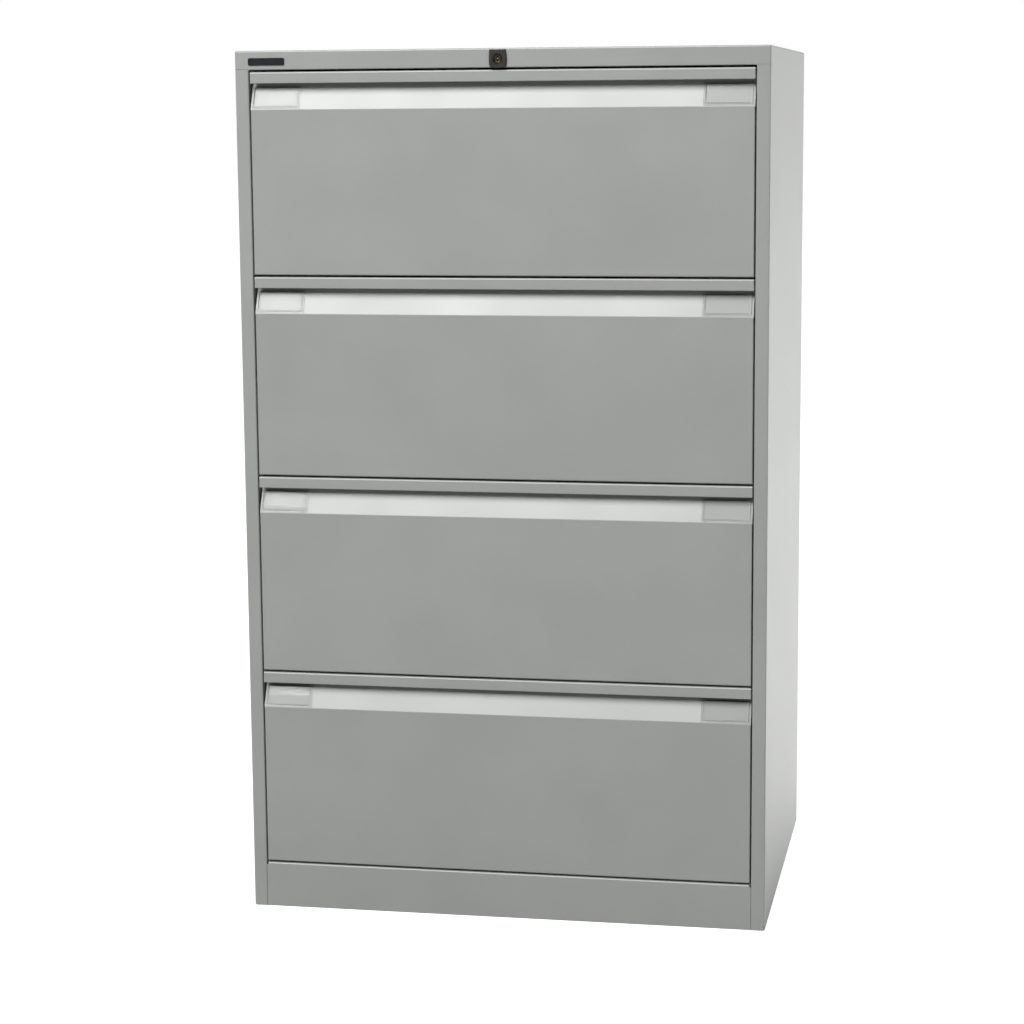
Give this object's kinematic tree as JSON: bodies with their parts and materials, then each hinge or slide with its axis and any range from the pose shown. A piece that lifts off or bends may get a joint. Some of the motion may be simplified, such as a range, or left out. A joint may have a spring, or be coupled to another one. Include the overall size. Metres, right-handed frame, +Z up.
{
  "type": "filing cabinet",
  "caption": "Double-width steel filing cabinet with flush drawer fronts, full-width finger recesses, clear label holders and a central top lock.",
  "frame": {"origin": "middle of the cabinet's footprint, on the floor", "axes": "+X to the right seen from the front, +Y towards the back, +Z up"},
  "size_m": [0.8, 0.6256, 1.321],
  "materials": {
    "carcase_paint": "satin silver-grey powder coat",
    "drawer_paint": "satin silver-grey powder coat",
    "tray_paint": "satin silver-grey powder coat",
    "zinc_plate": "bright zinc plate",
    "clear_plastic": "clear moulded",
    "black_plastic": "moulded, semi-gloss",
    "nickel_plate": "black nickel plate",
    "nylon": "natural nylon",
    "foot_plastic": "moulded",
    "badge_plastic": "plain, no lettering"
  },
  "bodies": {
    "carcase": {"side_panel_left": "carcase_paint", "side_panel_right": "carcase_paint", "top_panel": "carcase_paint", "back_panel": "carcase_paint", "base_panel": "carcase_paint", "plinth_panel": "carcase_paint", "runner_uprights_left": "tray_paint", "runner_uprights_right": "tray_paint", "levelling_feet": "foot_plastic", "blank_badge": "badge_plastic", "runner_screws": "zinc_plate", "lock_bezel": "black_plastic", "lock_housing": "nickel_plate", "lock_nut": "zinc_plate", "lock_guides": "nylon", "runner_outer_1": "zinc_plate", "runner_outer_2": "zinc_plate", "runner_outer_3": "zinc_plate", "runner_outer_4": "zinc_plate"},
    "drawer_1": {"drawer_front_1": "drawer_paint", "drawer_inner_panel_1": "tray_paint", "drawer_tray_1": "tray_paint", "runner_inner_1": "zinc_plate", "label_holder_left_1": "clear_plastic", "label_holder_right_1": "clear_plastic", "file_rails_1": "zinc_plate", "lock_catch_1": "zinc_plate"},
    "runner_middle_1": {"runner_middle_1": "zinc_plate"},
    "drawer_2": {"drawer_front_2": "drawer_paint", "drawer_inner_panel_2": "tray_paint", "drawer_tray_2": "tray_paint", "runner_inner_2": "zinc_plate", "label_holder_left_2": "clear_plastic", "label_holder_right_2": "clear_plastic", "file_rails_2": "zinc_plate", "lock_catch_2": "zinc_plate"},
    "runner_middle_2": {"runner_middle_2": "zinc_plate"},
    "drawer_3": {"drawer_front_3": "drawer_paint", "drawer_inner_panel_3": "tray_paint", "drawer_tray_3": "tray_paint", "runner_inner_3": "zinc_plate", "label_holder_left_3": "clear_plastic", "label_holder_right_3": "clear_plastic", "file_rails_3": "zinc_plate", "lock_catch_3": "zinc_plate"},
    "runner_middle_3": {"runner_middle_3": "zinc_plate"},
    "drawer_4": {"drawer_front_4": "drawer_paint", "drawer_inner_panel_4": "tray_paint", "drawer_tray_4": "tray_paint", "runner_inner_4": "zinc_plate", "label_holder_left_4": "clear_plastic", "label_holder_right_4": "clear_plastic", "file_rails_4": "zinc_plate", "lock_catch_4": "zinc_plate"},
    "runner_middle_4": {"runner_middle_4": "zinc_plate"},
    "lock_core": {"lock_cylinder": "nickel_plate", "lock_cam": "zinc_plate"},
    "transfer_bar": {"lock_transfer_bar": "zinc_plate"},
    "lock_bar": {"lock_bar": "zinc_plate"}
  },
  "joints": [
    {"name": "drawer_1_slide", "type": "slide", "parent": "carcase", "child": "drawer_1", "axis": [0, -1, 0], "range_m": [0, 0.54]},
    {"name": "runner_middle_1_slide", "type": "slide", "parent": "carcase", "child": "runner_middle_1", "axis": [0, -1, 0], "range_m": [0, 0.2701]},
    {"name": "drawer_2_slide", "type": "slide", "parent": "carcase", "child": "drawer_2", "axis": [0, -1, 0], "range_m": [0, 0.54]},
    {"name": "runner_middle_2_slide", "type": "slide", "parent": "carcase", "child": "runner_middle_2", "axis": [0, -1, 0], "range_m": [0, 0.2701]},
    {"name": "drawer_3_slide", "type": "slide", "parent": "carcase", "child": "drawer_3", "axis": [0, -1, 0], "range_m": [0, 0.54]},
    {"name": "runner_middle_3_slide", "type": "slide", "parent": "carcase", "child": "runner_middle_3", "axis": [0, -1, 0], "range_m": [0, 0.2701]},
    {"name": "drawer_4_slide", "type": "slide", "parent": "carcase", "child": "drawer_4", "axis": [0, -1, 0], "range_m": [0, 0.54]},
    {"name": "runner_middle_4_slide", "type": "slide", "parent": "carcase", "child": "runner_middle_4", "axis": [0, -1, 0], "range_m": [0, 0.2701]},
    {"name": "lock_bar_slide", "type": "slide", "parent": "carcase", "child": "lock_bar", "axis": [0, 0, 1], "range_m": [0, 0.0141]},
    {"name": "transfer_bar_slide", "type": "slide", "parent": "carcase", "child": "transfer_bar", "axis": [1, 0, 0], "range_m": [0, 0.0142]},
    {"name": "lock_turn", "type": "hinge", "parent": "carcase", "child": "lock_core", "pos_m": [0, -0.311, 1.305], "axis": [0, 1, 0], "range_deg": [0, 90]}
  ],
  "couplings": [
    {"joint": "runner_middle_1_slide", "follows": "drawer_1_slide", "ratio": 0.5},
    {"joint": "runner_middle_2_slide", "follows": "drawer_2_slide", "ratio": 0.5},
    {"joint": "runner_middle_3_slide", "follows": "drawer_3_slide", "ratio": 0.5},
    {"joint": "runner_middle_4_slide", "follows": "drawer_4_slide", "ratio": 0.5},
    {"joint": "transfer_bar_slide", "follows": "lock_bar_slide", "ratio": 1},
    {"joint": "lock_turn", "follows": "lock_bar_slide", "rad_per_m": 111.07}
  ]
}
